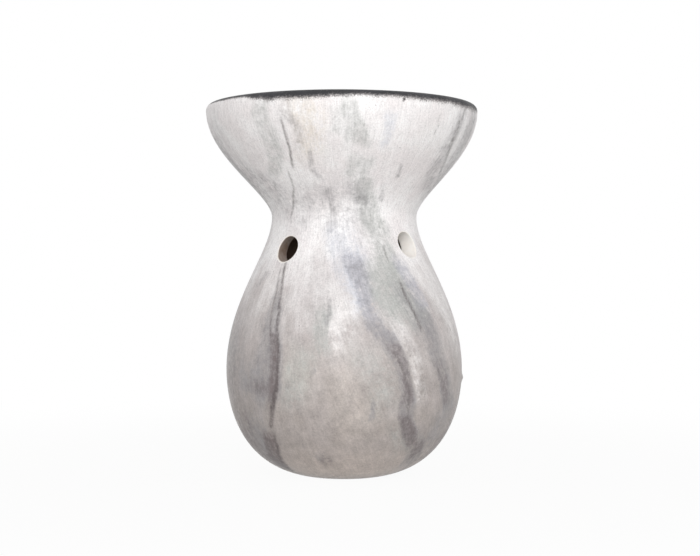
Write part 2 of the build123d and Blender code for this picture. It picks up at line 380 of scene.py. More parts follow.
def make_piece(name, points, face_groups, materials):
    """A mesh object from points in millimetres and groups of faces, one group for each material. Points that
    no face uses are left out. Gives the object, its points and which of all the points they are."""
    corners = np.concatenate([faces.ravel() for faces in sum(face_groups, [])])
    used, numbers = np.unique(corners, return_inverse=True)
    faces, finish, taken = [], [], 0
    for index, group in enumerate(face_groups):
        for array in group:
            faces.extend(numbers[taken : taken + array.size].reshape(array.shape).tolist())
            finish.extend([index] * len(array))
            taken += array.size
    mesh = bpy.data.meshes.new(name)
    mesh.from_pydata((points[used] * MM).tolist(), [], faces)
    mesh.polygons.foreach_set("material_index", finish)
    for material in materials:
        mesh.materials.append(material)
    mesh.shade_smooth()
    mesh.set_sharp_from_angle(angle=SHARP_ABOVE)
    mesh.update()
    return new_object(name, mesh), points[used], used


def fill(tree, node, sockets):
    """Gives a node's sockets a plain value each, or a link from another node or from one of its outputs."""
    for name, value in sockets.items():
        if isinstance(value, bpy.types.Node):
            value = value.outputs[0]
        if isinstance(value, bpy.types.NodeSocket):
            tree.links.new(value, node.inputs[name])
        else:
            node.inputs[name].default_value = value


def add(tree, kind, sockets, **settings):
    """Adds a shader node with its settings and sockets."""
    made = tree.nodes.new("ShaderNode" + kind)
    for name, value in settings.items():
        setattr(made, name, value)
    fill(tree, made, sockets)
    return made


def new_material(name):
    """A material with its tree, its principled shader and the object's own coordinates."""
    material = bpy.data.materials.new(name)
    material.use_nodes = True
    tree = material.node_tree
    coordinates = add(tree, "TexCoord", {}).outputs["Object"]
    return material, tree, tree.nodes["Principled BSDF"], coordinates


def srgb(red, green, blue):
    """A colour as a screen shows it, each part from 0 to 255, in the linear light that a shader works in."""
    part = np.array([red, green, blue]) / 255
    return (*np.where(part <= 0.04045, part / 12.92, ((part + 0.055) / 1.055) ** 2.4), 1.0)


def noise(tree, coordinates, size, detail=4.0, roughness=0.55):
    """Cloudy noise, about 0.5, with blobs that many millimetres across."""
    sockets = {"Vector": coordinates, "Scale": 1 / (size * MM), "Detail": detail, "Roughness": roughness}
    return add(tree, "TexNoise", sockets).outputs[0]


def rise(tree, value, low, high, bottom=0.0, top=1.0):
    """From bottom at low to top at high, level at both ends."""
    sockets = {0: value, 1: low, 2: high, 3: bottom, 4: top}
    return add(tree, "MapRange", sockets, interpolation_type="SMOOTHSTEP").outputs[0]


def work(tree, operation, first, second=0.0):
    """Two numbers put together by one operation."""
    return add(tree, "Math", {0: first, 1: second}, operation=operation).outputs[0]


def times(tree, first, second):
    """Two numbers multiplied."""
    return work(tree, "MULTIPLY", first, second)


def mixture(tree, *shares, less=0.0):
    """Numbers added up, each times its own share, less a fixed amount."""
    total = times(tree, *shares[0])
    for value, share in shares[1:]:
        total = work(tree, "ADD", total, times(tree, value, share))
    return work(tree, "SUBTRACT", total, less) if less else total


def emboss(tree, relief, strength, depth):
    """A bump for a shader's normal: the relief, as strong as that, over a depth in mm."""
    return add(tree, "Bump", {"Height": relief, "Strength": strength, "Distance": depth * MM})


def stored(tree, name, output="Fac"):
    """What a piece keeps for each of its points under a name."""
    return add(tree, "Attribute", {}, attribute_name=name).outputs[output]


def lay(tree, cover, under, over):
    """One colour laid over another, as much as cover says."""
    return add(tree, "Mix", {0: cover, 6: under, 7: over}, data_type="RGBA").outputs[2]


# Marbled glaze: off-white, drawn with soft washes of grey and dragged veins while wet. Some of the washes are
# painted shade and painted light: on the limbs, under the bowl's flare, at the neck and at the bottom
# corners.
# Each wash is (half width in mm, softness of its edge, strength, points from the top down as azimuth in
# degrees, height in mm).
MARBLING_AND_SHADING = {
    "peach_wash": [
        (5.5, 1.2, 0.44, [(-20, 117), (-19, 110), (-20, 102)]),
        (6.5, 1.3, 0.12, [(-4, 38), (0, 28), (3, 16)]),
        (5.0, 1.3, 0.28, [(-26, 40), (-26, 30)]),
    ],
    "pale_wash_and_light": [
        (2.7, 0.8, 0.30, [(20, 51), (24, 47), (28, 42), (31, 37), (34, 31), (34, 26)]),
        (6.0, 1.2, 0.40, [(32, 116), (36, 104)]),
        (6.0, 1.2, 0.30, [(-21, 86), (-16, 78)]),
        (5.5, 1.2, 0.40, [(-6, 60), (-5, 50), (-6, 41)]),
        # Painted light on the left side of the belly
        (4.0, 1.2, 0.42, [(-52, 66), (-50, 53)]),
        # Partly marbling, partly painted light along the right limb of the belly
        (7.0, 1.2, 0.50, [(52, 72), (60, 62), (66, 52), (72, 42)]),
    ],
    "blue_wash": [
        (1.6, 1.2, 0.55, [(15, 113), (14, 108), (13, 104)]),
        (4.5, 1.2, 0.60, [(-6, 80), (-2, 70), (4, 60), (8, 54)]),
    ],
    "green_wash": [
        (2.8, 0.9, 0.44, [(-36, 117), (-38, 111), (-38, 106), (-39, 101), (-46, 95)]),
        (2.8, 0.6, 0.50, [(-2, 118), (-1, 114), (2, 108), (3, 104)]),
        (1.6, 1.0, 0.32, [(-8, 115), (-5, 106)]),
        (3.2, 0.7, 0.42, [(5, 101), (4, 98), (2, 94)]),
        (3.2, 0.7, 0.58, [(7, 94), (11, 90), (16, 86), (21, 79)]),
        (4.2, 1.0, 0.55, [(19, 83), (22, 76), (22, 70)]),
        (6.5, 0.7, 0.85, [(17, 69), (20, 62), (24, 57), (30, 52)]),
        (5.0, 1.3, 0.40, [(8, 42), (12, 32), (16, 24)]),
        (4.4, 0.9, 0.70, [(22, 72), (24, 67), (26, 62), (29, 57), (35, 49)]),
        (3.6, 1.0, 0.50, [(30, 66), (35, 58), (39, 50)]),
        (2.6, 0.8, 0.62, [(-15, 55), (-16, 50), (-16, 47), (-14, 42)]),
        (4.5, 1.2, 0.55, [(-24, 42), (-27, 34), (-28, 26)]),
        (3.0, 1.2, 0.35, [(24, 18), (30, 11)]),
    ],
    "slate_wash": [
        (2.4, 1.3, 0.62, [(-1, 72), (1, 67), (4, 62), (6, 58), (10, 54), (13, 50), (16, 46)]),
        (2.8, 0.7, 0.54, [(34, 70), (36, 67), (39, 64), (41, 59), (41, 54)]),
    ],
    "grey_wash_and_shade": [
        (1.6, 1.0, 0.30, [(-27, 116), (-27, 112), (-25, 109), (-26, 104)]),
        (0.8, 1.2, 0.42, [(-20, 103), (-20, 99), (-19, 95)]),
        (0.8, 1.4, 0.24, [(-17, 92), (-16, 88), (-12, 84)]),
        (2.4, 1.0, 0.45, [(0, 92), (6, 89), (13, 86)]),
        # Painted shade on the neck
        (7.0, 1.4, 0.36, [(-6, 92), (0, 76)]),
        (5.0, 1.4, 0.14, [(-14, 72), (-18, 52)]),
        # Partly marbling, partly painted shade on the neck
        (5.0, 1.4, 0.30, [(-26, 92), (-30, 82)]),
        (2.0, 1.3, 0.18, [(-70, 116), (-68, 105), (-65, 94)]),
        # Painted shade under the bowl's flare, left of the neck, over a greyer patch of marbling
        (6.0, 1.3, 0.34, [(-70, 99), (-60, 92), (-48, 82)]),
        # Painted shade on the left limb of the bowl
        (5.0, 1.2, 0.52, [(-90, 114), (-86, 101), (-80, 90)]),
        (3.0, 1.3, 0.42, [(54, 117), (51, 109), (51, 103), (54, 97), (60, 91)]),
        # Painted shade on the right limb of the bowl
        (5.0, 1.2, 0.62, [(67, 117), (69, 106), (73, 97), (78, 90)]),
        (0.6, 0.9, 0.50, [(26, 99), (29, 95)]),
        (0.7, 0.9, 0.45, [(22, 93), (25, 88)]),
        (2.6, 1.0, 0.42, [(0, 70), (5, 62), (12, 52)]),
        (2.5, 0.7, 0.84, [(12, 51), (15, 47), (18, 43), (24, 33), (27, 29), (28, 24), (29, 20), (33, 14)]),
        (3.6, 0.9, 0.54, [(29, 62), (34, 54), (38, 46)]),
        (3.7, 0.9, 0.74, [(38, 54), (42, 48), (45, 43), (47, 38), (50, 33), (54, 27), (61, 22)]),
        (0.6, 0.8, 0.45, [(-13, 57), (-13, 50)]),
        (1.2, 0.8, 0.35, [(-45, 64), (-44, 57)]),
        (1.9, 0.8, 0.42, [(-43, 58), (-42, 52)]),
        (3.8, 0.9, 0.62, [(-42, 51), (-41, 46), (-40, 39)]),
        (4.5, 0.9, 0.46, [(-56, 38), (-55, 28)]),
        # Painted shade low on the left, beside the mauve patch
        (5.0, 1.2, 0.80, [(-58, 17), (-62, 4)]),
        (2.4, 0.8, 0.58, [(-40, 58), (-39, 52), (-39, 44), (-38, 36), (-39, 28)]),
        (4.0, 1.1, 0.70, [(-45, 42), (-44, 36), (-44, 25)]),
        (6.0, 0.5, 0.72, [(-50, 33), (-50, 28)]),
        (1.2, 1.0, 0.35, [(-58, 66), (-65, 61)]),
        # Painted shade on the left limb of the belly
        (6.0, 1.4, 0.42, [(-72, 50), (-70, 40), (-67, 28)]),
        (4.0, 1.3, 0.42, [(-54, 23), (-56, 14)]),
        (3.6, 1.0, 0.52, [(33, 17), (39, 12), (44, 7), (46, 4)]),
        (4.2, 1.2, 0.45, [(56, 24), (52, 15), (46, 7)]),
        (0.6, 0.8, 0.50, [(47, 17), (49, 13)]),
        (1.0, 0.6, 0.62, [(9, 28), (9, 22)]),
        (0.8, 0.9, 0.45, [(-18, 37), (-18, 35)]),
        (0.7, 0.8, 0.45, [(-32, 33), (-32, 31)]),
        (2.0, 1.0, 0.40, [(-19, 11), (-14, 8)]),
    ],
    "dusk_wash_and_shade": [
        (2.8, 0.7, 0.88, [(-48, 16), (-49, 12), (-51, 9), (-58, 4)]),
        (3.8, 0.6, 0.45, [(-46, 32), (-46, 29)]),
        (1.6, 0.9, 0.62, [(-39, 46), (-39, 36), (-39, 30), (-41, 24)]),
        (1.9, 0.9, 0.52, [(17, 45), (21, 39), (25, 33), (27, 29), (27, 25)]),
        (2.2, 0.8, 0.68, [(28, 21), (31, 16), (36, 12)]),
        (3.0, 1.1, 0.62, [(42, 12), (45, 6)]),
        (2.4, 0.9, 0.42, [(46, 37), (50, 31), (55, 25)]),
        (2.0, 1.2, 0.42, [(-15, 10), (-13, 6)]),
        # Painted shade on the lower left limb and at both bottom corners, where the body turns down and away
        (5.0, 1.4, 0.30, [(-74, 40), (-70, 26), (-66, 14)]),
        (6.0, 1.4, 0.78, [(-76, 18), (-70, 8), (-66, 3)]),
        (6.0, 1.4, 0.70, [(74, 18), (68, 8), (62, 3)]),
    ],
}
# Veins are (width in mm, strength, points)
VEINS = [
    (0.5, 0.80, [(-30, 112), (-30, 107), (-30, 103), (-31, 98)]),
    (0.5, 0.60, [(-35, 97), (-36, 94), (-38, 91), (-43, 88), (-50, 83)]),
    (0.8, 0.30, [(-47, 95), (-55, 91), (-57, 85)]),
    (1.1, 0.60, [(57, 118), (53, 113), (53, 107), (57, 102), (63, 97)]),
    (0.4, 0.60, [(38, 113), (39, 110), (38, 108)]),
    (0.6, 0.85, [(-44, 69), (-43, 65), (-41, 61), (-40, 57), (-38, 53), (-37, 46), (-36, 41), (-37, 30)]),
    (0.5, 0.60, [(-47, 68), (-46, 64), (-44, 59), (-43, 54), (-42, 50), (-41, 45)]),
    (1.0, 0.95, [(-37, 31), (-39, 26), (-41, 22), (-44, 18)]),
    (0.7, 0.70, [(-43, 16), (-44, 12), (-47, 9), (-51, 6), (-53, 3)]),
    (0.6, 0.80, [(30, 63), (31, 58), (33, 54), (36, 48)]),
    (0.5, 0.55, [(23, 74), (25, 69)]),
    (0.7, 0.50, [(18, 42), (23, 36), (27, 31), (28, 24), (29, 20)]),
]

# The back, which the photograph doesn't show, is drawn by the same hand: the front's strokes the other way
# round, each moved a little. The two sides between have paler ones.
BACK_SEED = 11
BACK_MIDDLE = 186.0
BACK_STRENGTH = 0.9
BACK_SHIFT = np.array([9, 5])
SIDES = (95, 267)
SIDE_TOPS = np.linspace(114, 34, 9)
SIDE_SOFTNESS = 1.2
# Least and most of a side stroke's start, fall, drift, half width and strength
SIDE_LEAST = (-14, 12, -2, 2.0, 0.12)
SIDE_MOST = (14, 34, 14, 5.0, 0.32)
hand = np.random.default_rng(BACK_SEED)


def drawn_behind(line):
    """A stroke's line turned round behind the burner, moved round and up by the hand."""
    shift, lift = hand.uniform(-BACK_SHIFT, BACK_SHIFT)
    return [(BACK_MIDDLE - azimuth + shift, height + lift) for azimuth, height in line]


# The copies carry the front's painted shade and painted light round to the back as well.
for strokes in MARBLING_AND_SHADING.values():
    for half_width, softness, strength, line in list(strokes):
        strokes.append((half_width, softness, BACK_STRENGTH * strength, drawn_behind(line)))
for width, strength, line in list(VEINS):
    VEINS.append((width, BACK_STRENGTH * strength, drawn_behind(line)))
for side in SIDES:
    for top in SIDE_TOPS:
        start, fall, drift, half_width, strength = hand.uniform(SIDE_LEAST, SIDE_MOST)
        name = "grey_wash_and_shade" if hand.random() < 0.5 else "green_wash"
        line = [(side + start, top), (side + start + drift, top - fall)]
        MARBLING_AND_SHADING[name].append((half_width, SIDE_SOFTNESS, strength, line))

# The line that the outside of body and bowl follow together, for placing strokes by their height
rim_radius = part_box("oil_bowl")[1].x / MM
burner_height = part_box("oil_bowl")[1].z / MM
BOWL_WALL = 3.8
WAIST_UPPER_PULL = 7.28
RIM_PULL = 14.81
FLARE_ROWS = 72
FLARE_CROWDING = 1.3
lip_height = burner_height - BOWL_WALL / 2
flare = curve([
    (WAIST_RADIUS, waist_height),
    (WAIST_RADIUS, waist_height + WAIST_UPPER_PULL),
    (rim_radius, lip_height - RIM_PULL),
    (rim_radius, lip_height),
], np.linspace(0, 1, FLARE_ROWS) ** FLARE_CROWDING)
outline = np.concatenate([heel, shoulder[1:], flare[1:]])
outline_run = run_along(outline)

# Wet glaze creeps: each wave moves the strokes sideways a little, by its own share of its length
CREEP_SEED = 5
CREEP_WAVES = 26
CREEP_SHORTEST, CREEP_LONGEST = 4.0, 24.0
CREEP_SHARE = 0.009
VEIN_CREEP = 0.4
VEIN_TAPER = 4.0
VEIN_END = 0.6
creep = np.random.default_rng(CREEP_SEED)
wave_heading = creep.normal(size=(CREEP_WAVES, 3))
wave_heading /= np.linalg.norm(wave_heading, axis=1, keepdims=True)
wave_length = creep.uniform(CREEP_SHORTEST, CREEP_LONGEST, CREEP_WAVES)
wave_start = creep.uniform(0, 2 * np.pi, CREEP_WAVES)
wave_push = creep.normal(size=(CREEP_WAVES, 3)) * wave_length[:, None] * CREEP_SHARE

# Brush marks lean: down the front right they drift round by this many degrees for each millimetre of fall
BRUSH_LEAN = 0.7
BRUSH_LEAN_AZIMUTH = 45.0
BRUSH_LEAN_FALL = 1.5
BRUSH_LEVEL = 60.0
BRUSH_RADIUS = 34.0
BRUSH_STRETCH = 0.12


def outline_at(height):
    """Where the outline reaches a height, as a length along it."""
    return np.interp(height, outline[:, 1], outline_run)


def along_stroke(points, line):
    """How far each point lies across a stroke's line, in mm, square to it, and how far inside its ends."""
    azimuth = np.degrees(np.arctan2(points[:, 0], -points[:, 1]))
    radius = np.hypot(points[:, 0], points[:, 1])
    run = outline_at(points[:, 2])
    line_azimuth, line_height = np.array(line, float)[::-1].T
    line_run = outline_at(line_height)
    middle = np.interp(run, line_run, line_azimuth)
    lean = np.interp(run, line_run, np.gradient(line_azimuth, line_run)) * np.radians(radius)
    turn = (azimuth - middle + 180) % 360 - 180
    across = turn * np.radians(radius) / np.hypot(1, lean)
    return across, np.minimum(run - line_run[0], line_run[-1] - run)


def store(piece, name, values):
    """Keeps one number, or one vector, for each point of a piece, for its material to read."""
    kind, field = ("FLOAT", "value") if values.ndim == 1 else ("FLOAT_VECTOR", "vector")
    attribute = piece.data.attributes.new(name, kind, "POINT")
    attribute.data.foreach_set(field, values.astype(np.float32).ravel())


def paint(piece, points):
    """Washes: half strength at a stroke's half width and ends, eased over the softness, each new stroke
    covering its share of what shows through. Veins: the strongest, a narrow bell across its line. Both are
    read at points that the creep has moved. Brush: the place turned round the axis by the lean, flattened."""
    crept = np.sin(points @ wave_heading.T * 2 * np.pi / wave_length + wave_start) @ wave_push
    for name, strokes in MARBLING_AND_SHADING.items():
        bare = np.ones(len(points))
        for half_width, softness, strength, line in strokes:
            across, within = along_stroke(points + crept, line)
            body = ease((1 - abs(across) / half_width) / softness + 0.5)
            body = body * ease(within / (2 * softness * half_width) + 0.5)
            bare *= 1 - strength * body
        store(piece, name, 1 - bare)
    vein = np.zeros(len(points))
    for width, strength, line in VEINS:
        across, within = along_stroke(points + VEIN_CREEP * crept, line)
        bell = strength * np.exp(-((across / width) ** 2))
        vein = np.maximum(vein, bell * ease(within / VEIN_TAPER + VEIN_END))
    store(piece, "vein", vein)
    azimuth = np.arctan2(points[:, 0], -points[:, 1])
    facing = np.clip(np.cos(azimuth - np.radians(BRUSH_LEAN_AZIMUTH)), 0, 1)
    lean = BRUSH_LEAN * facing**BRUSH_LEAN_FALL
    swept = azimuth + np.radians(lean * (np.minimum(points[:, 2], waist_height) - BRUSH_LEVEL))
    store(piece, "brush", around(BRUSH_RADIUS, swept, BRUSH_STRETCH * outline_at(points[:, 2])) * MM)


GROUND_LIGHT = srgb(253, 251, 251)
GROUND_SHADE = srgb(243, 238, 238)
GROUND_BELLY = srgb(189, 182, 180)
GROUND_BELLY_SHADE = srgb(180, 171, 169)
GROUND_LOW = srgb(171, 162, 157)
PAINTED_FOOT_LIGHT = srgb(222, 210, 202)
WASH_COLOURS = {
    "peach_wash": srgb(232, 220, 204),
    "pale_wash_and_light": srgb(246, 243, 242),
    "blue_wash": srgb(216, 219, 228),
    "green_wash": srgb(182, 184, 181),
    "slate_wash": srgb(166, 167, 179),
    "grey_wash_and_shade": srgb(154, 151, 153),
    "dusk_wash_and_shade": srgb(114, 103, 103),
}
VEIN_COLOUR = srgb(92, 84, 84)
MOTTLE_COLOUR = srgb(150, 144, 144)
CHARCOAL = srgb(46, 46, 49)
CHARCOAL_THIN = srgb(66, 65, 69)
PIT_SPACING = 2.2

marbled_glaze, tree, shader, place = new_material("marbled_glaze")
cloud = noise(tree, place, 13.0, 5.0, 0.6)
ragged = noise(tree, place, 4.0, 6.0, 0.66)
sponge = noise(tree, place, 1.3, 4.0, 0.6)
grain = noise(tree, place, 0.45, 2.0, 0.5)
brush = stored(tree, "brush", "Vector")
fibre = noise(tree, brush, 1.0, 4.0, 0.62)
fine_fibre = noise(tree, brush, 0.42, 2.0, 0.55)
broad_fibre = noise(tree, brush, 3.2, 3.0, 0.55)
up = add(tree, "SeparateXYZ", {"Vector": place}).outputs["Z"]

# The ground: cloudy, greyer on the belly and a warm grey towards the foot, partly the glaze's own tone and
# partly painted shade on the lower body, which faces down; right at the foot it is painted lighter again
colour = lay(tree, rise(tree, cloud, 0.36, 0.64), GROUND_SHADE, GROUND_LIGHT)
level = mixture(tree, (up, 1.0), (cloud, 0.03), (broad_fibre, 0.03), less=0.03)
blotch = noise(tree, place, 7.0, 5.0, 0.62)
belly = lay(tree, rise(tree, blotch, 0.4, 0.62), GROUND_BELLY, GROUND_BELLY_SHADE)
colour = lay(tree, rise(tree, level, 0.045, 0.082, 0.85, 0.0), colour, belly)
low = rise(tree, level, 0.014, 0.058, 0.9, 0.0)
colour = lay(tree, times(tree, low, rise(tree, blotch, 0.35, 0.65, 1.0, 0.7)), colour, GROUND_LOW)
# Painted light: lighter right at the foot, in place of light bounced up from the floor
colour = lay(tree, rise(tree, up, 0.001, 0.015, 0.8, 0.0), colour, PAINTED_FOOT_LIGHT)

# Washes, torn and streaked by the brush
tear = mixture(tree, (ragged, 1.5), (broad_fibre, 0.8), (sponge, 1.3), (fibre, 0.8), less=2.2)
tear = times(tree, tear, rise(tree, up, 0.05, 0.075, 1.0, 0.75))
for name, wash_colour in WASH_COLOURS.items():
    density = stored(tree, name)
    torn = mixture(tree, (density, 1.0), (tear, rise(tree, density, 0.0, 0.4)))
    cover = add(tree, "MapRange", {0: torn, 4: 0.9}).outputs[0]
    colour = lay(tree, cover, colour, wash_colour)

# Veins, broken along their length
vein = stored(tree, "vein")
broken = rise(tree, mixture(tree, (sponge, 0.6), (ragged, 0.4)), 0.3, 0.6, 0.2, 0.9)
colour = lay(tree, times(tree, rise(tree, vein, 0.05, 0.95), broken), colour, VEIN_COLOUR)

# Fine sponging and brush fibres over everything, and mottling on the belly
lower = rise(tree, up, 0.07, 0.1, 1.0, 0.55)
sponged = times(tree, rise(tree, sponge, 0.5, 0.78, 0.0, 0.24), lower)
brushed = times(tree, rise(tree, fibre, 0.5, 0.8, 0.0, 0.22), lower)
colour = lay(tree, sponged, colour, MOTTLE_COLOUR)
colour = lay(tree, brushed, colour, MOTTLE_COLOUR)
mottle = times(tree, work(tree, "SUBTRACT", ragged, 0.5), rise(tree, up, 0.035, 0.065, 0.75, 0.0))
fine = mixture(tree, (grain, 0.54), (fine_fibre, 0.36), (mottle, 1.0), less=-0.55)
colour = add(tree, "HueSaturation", {"Value": fine, "Color": colour}).outputs[0]

# Charcoal glaze of the rim: a grey haze, then dense specks that close up towards the lip
charcoal_edge = stored(tree, "charcoal")
specks = noise(tree, place, 0.4, 3.0, 0.65)
speckled = mixture(tree, (charcoal_edge, 1.0), (specks, 1.3), (ragged, 0.8), less=1.05)
haze = times(tree, rise(tree, speckled, 0.05, 0.65, 0.0, 0.75), rise(tree, charcoal_edge, 0.0, 0.2))
colour = lay(tree, haze, colour, VEIN_COLOUR)
dark = times(tree, rise(tree, speckled, 0.4, 0.9), rise(tree, charcoal_edge, 0.0, 0.3))
colour = lay(tree, dark, colour, lay(tree, rise(tree, cloud, 0.4, 0.75), CHARCOAL, CHARCOAL_THIN))

# Pinholes
cells = add(tree, "TexVoronoi", {"Vector": place, "Scale": 1 / (PIT_SPACING * MM)}).outputs["Distance"]
pit = times(tree, rise(tree, cells, 0.05, 0.11, 1.0, 0.0), rise(tree, ragged, 0.52, 0.6))
relief = mixture(tree, (sponge, 0.5), (fibre, 0.5), (grain, 0.25), (pit, -1.0))
fill(tree, shader, {
    "Base Color": lay(tree, times(tree, pit, 0.5), colour, VEIN_COLOUR),
    "Roughness": mixture(tree, (rise(tree, sponge, 0.3, 0.7, 0.34, 0.46), 1.0), (dark, 0.08)),
    "Specular IOR Level": 0.3,
    "Normal": emboss(tree, relief, 0.35, 0.12),
})

# Bare clay: cream biscuit inside, under the foot and round the openings, faintly grainy. Painted shade turns
# it brown in the upper chamber and on the left vent's wall.
CLAY_LIGHT = srgb(253, 251, 248)
CLAY_SHADE = srgb(244, 238, 231)
CHAMBER_SHADE_COLOUR = srgb(120, 99, 85)
SHADE_START = 38.0
SHADE_FULL = 66.0
LEFT_VENT_SHADE = 0.75
bare_clay, tree, shader, place = new_material("bare_clay")
clay_grain = noise(tree, place, 0.7, 4.0, 0.6)
clay_cloud = noise(tree, place, 6.0, 5.0, 0.6)
colour = lay(tree, rise(tree, clay_cloud, 0.3, 0.7), CLAY_LIGHT, CLAY_SHADE)
painted_shade = stored(tree, "painted_shade")
uneven = mixture(tree, (clay_cloud, 0.8), less=0.4)
shading = mixture(tree, (painted_shade, 1.0), (uneven, rise(tree, painted_shade, 0.0, 0.3)))
fill(tree, shader, {
    "Base Color": lay(tree, rise(tree, shading, 0.0, 1.0), colour, CHAMBER_SHADE_COLOUR),
    "Roughness": 0.85,
    "Normal": emboss(tree, clay_grain, 0.3, 0.15),
})

# Painted shade: the chamber turns brown upwards from above the flame, and so does the left vent's wall
chamber_shading = [np.zeros(inside_start), ease((inside.points()[:, 2] - SHADE_START) / (SHADE_FULL - SHADE_START))]
for facing, block, rings in rims:
    vent_shading = LEFT_VENT_SHADE if facing == 360 - VENT_AZIMUTH else 0.0
    inwards = np.linspace(0, 1, len(rings))[:, None] * np.ones(rings.shape[2])
    chamber_shading.append((vent_shading * ease(2 * inwards)).ravel())
body_shading = np.concatenate([*chamber_shading, [0, 0]])

body_faces = [
    [outer_quads[bare_rows * COLUMNS :]],
    [outer_quads[: bare_rows * COLUMNS], inner_quads, joint_quads, rim_quads, foot_fan, floor_fan],
]
glazed_body, glazed_points, body_order = make_piece(
    "glazed_body", body_points, body_faces, [marbled_glaze, bare_clay]
)
paint(glazed_body, glazed_points)
store(glazed_body, "painted_shade", body_shading[body_order])
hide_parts("burner_body")
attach(glazed_body, "burner")

# Oil bowl: cast like the body and luted to its neck, so that the marbling runs on over the joint. Inside it
# is glazed charcoal, and the dark glaze comes over the lip in a speckled band. It sits a little askew.
SPIGOT_RADIUS = 18.85
SPIGOT_DEPTH = 3.5
BOWL_FLOOR_HEIGHT = 85.0
BOWL_FLAT_RADIUS = 8.0
BOWL_FLAT_PULL = 10.04
BOWL_RIM_PULL = 10.92
BOWL_LEAN = -0.8
BOWL_TILT = np.radians(-0.1)
# How far down the band is dark, and how far it fades from there, by azimuth
RIM_BAND = [
    (-180, 2.1, 2.6), (-86, 1.2, 1.0), (-46, 1.4, 1.6), (-34, 1.9, 3.4), (-12, 1.9, 3.2), (-6, 1.7, 2.6),
    (14, 1.7, 2.6), (28, 1.5, 3.2), (44, 1.6, 3.4), (54, 2.0, 3.4), (68, 2.0, 3.2), (100, 2.1, 2.6),
    (180, 2.1, 2.6),
]
RIM_PIT_AZIMUTH = 21.0
RIM_PIT_BELOW = 4.0
RIM_PIT_RADIUS = 0.45
RIM_PIT_DARK = 0.7
CHARCOAL_INSIDE = 0.6
LIP_ROWS = 25
BOWL_ROWS = 60


def turned(profile, columns):
    """A ring of points round the axis for each radius and height of a profile, ring after ring."""
    return around(profile[:, :1], np.arange(columns) * 2 * np.pi / columns, profile[:, 1:])


def turned_solid(profile, columns=COLUMNS):
    """A turned solid: a ring of points for each radius and height of the profile but the two ends, which lie
    on the axis and are one point each. Gives the points, the quads between rings and the fans at the ends."""
    rings = turned(profile[1:-1], columns)
    points = np.concatenate([rings, [(0, 0, profile[0, 1]), (0, 0, profile[-1, 1])]])
    first = np.arange(columns)
    low_fan = fan(len(rings), first)[:, ::-1]
    high_fan = fan(len(rings) + 1, first + len(rings) - columns)
    return points, grid_quads(len(profile) - 2, columns), low_fan, high_fan


def arc(middle, radius, start, end, count):
    """Part of a circle, by its start and end angles in degrees from straight out, turning upwards."""
    turn = np.radians(np.linspace(start, end, count))
    return np.array(middle) + radius * np.stack([np.cos(turn), np.sin(turn)], axis=1)


bowl_under = np.array([
    (0, waist_height - SPIGOT_DEPTH),
    (SPIGOT_RADIUS / 2, waist_height - SPIGOT_DEPTH),
    (SPIGOT_RADIUS, waist_height - SPIGOT_DEPTH),
    (SPIGOT_RADIUS, waist_height),
])
lip = arc((rim_radius - BOWL_WALL / 2, lip_height), BOWL_WALL / 2, 0, 180, LIP_ROWS)
bowl_inside = curve([
    (rim_radius - BOWL_WALL, lip_height),
    (rim_radius - BOWL_WALL, lip_height - BOWL_RIM_PULL),
    (BOWL_FLAT_RADIUS + BOWL_FLAT_PULL, BOWL_FLOOR_HEIGHT),
    (BOWL_FLAT_RADIUS, BOWL_FLOOR_HEIGHT),
], np.linspace(0, 1, BOWL_ROWS))
bowl_flat = np.array([
    (BOWL_FLAT_RADIUS / 2, BOWL_FLOOR_HEIGHT),
    (POLE_RADIUS, BOWL_FLOOR_HEIGHT),
    (0, BOWL_FLOOR_HEIGHT),
])
bowl_profile = np.concatenate([bowl_under, flare, lip[1:], bowl_inside[1:], bowl_flat])
bowl_points, bowl_quads, bowl_low_fan, bowl_high_fan = turned_solid(bowl_profile)
under_quads = (len(bowl_under) - 1) * COLUMNS
bowl_faces = [[bowl_quads[under_quads:], bowl_high_fan], [bowl_quads[:under_quads], bowl_low_fan]]

# How far each ring lies below the top of the lip, along the outside, gives the charcoal its edge
bowl_runs = run_along(bowl_profile)
lip_top = bowl_runs[len(bowl_under) + len(flare) + len(lip) // 2 - 1]
below_lip = (lip_top - bowl_runs[1:-1])[:, None]
ring_azimuth = (np.arange(COLUMNS) * 360 / COLUMNS + 180) % 360 - 180
band_azimuth, *band = np.array(RIM_BAND, float).T
dark_to, fade = (np.interp(ring_azimuth, band_azimuth, column) for column in band)
charcoal = 1 - ease((below_lip - dark_to) / fade) + CHARCOAL_INSIDE * ease((1 - below_lip) / 2)
pit_across = np.radians(ring_azimuth - RIM_PIT_AZIMUTH) * rim_radius
pit_away = np.hypot(pit_across, below_lip - RIM_PIT_BELOW) / RIM_PIT_RADIUS
charcoal += RIM_PIT_DARK * ease(1.5 - pit_away)
charcoal = np.concatenate([charcoal.ravel(), [0, 1 + CHARCOAL_INSIDE]])

askew = ease((bowl_points[:, 2] - waist_height) / (burner_height - waist_height))
bowl_points[:, 2] += np.tan(BOWL_TILT) * bowl_points[:, 0] * askew
bowl_points[:, 0] += BOWL_LEAN * askew
glazed_bowl, glazed_points, bowl_order = make_piece(
    "glazed_bowl", bowl_points, bowl_faces, [marbled_glaze, bare_clay]
)
paint(glazed_bowl, glazed_points)
store(glazed_bowl, "charcoal", charcoal[bowl_order])
# Painted shade: the bare underside of the bowl's spigot, down in the chamber, is fully brown
store(glazed_bowl, "painted_shade", (glazed_points[:, 2] < waist_height).astype(float))
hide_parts("oil_bowl")
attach(glazed_bowl, "burner")

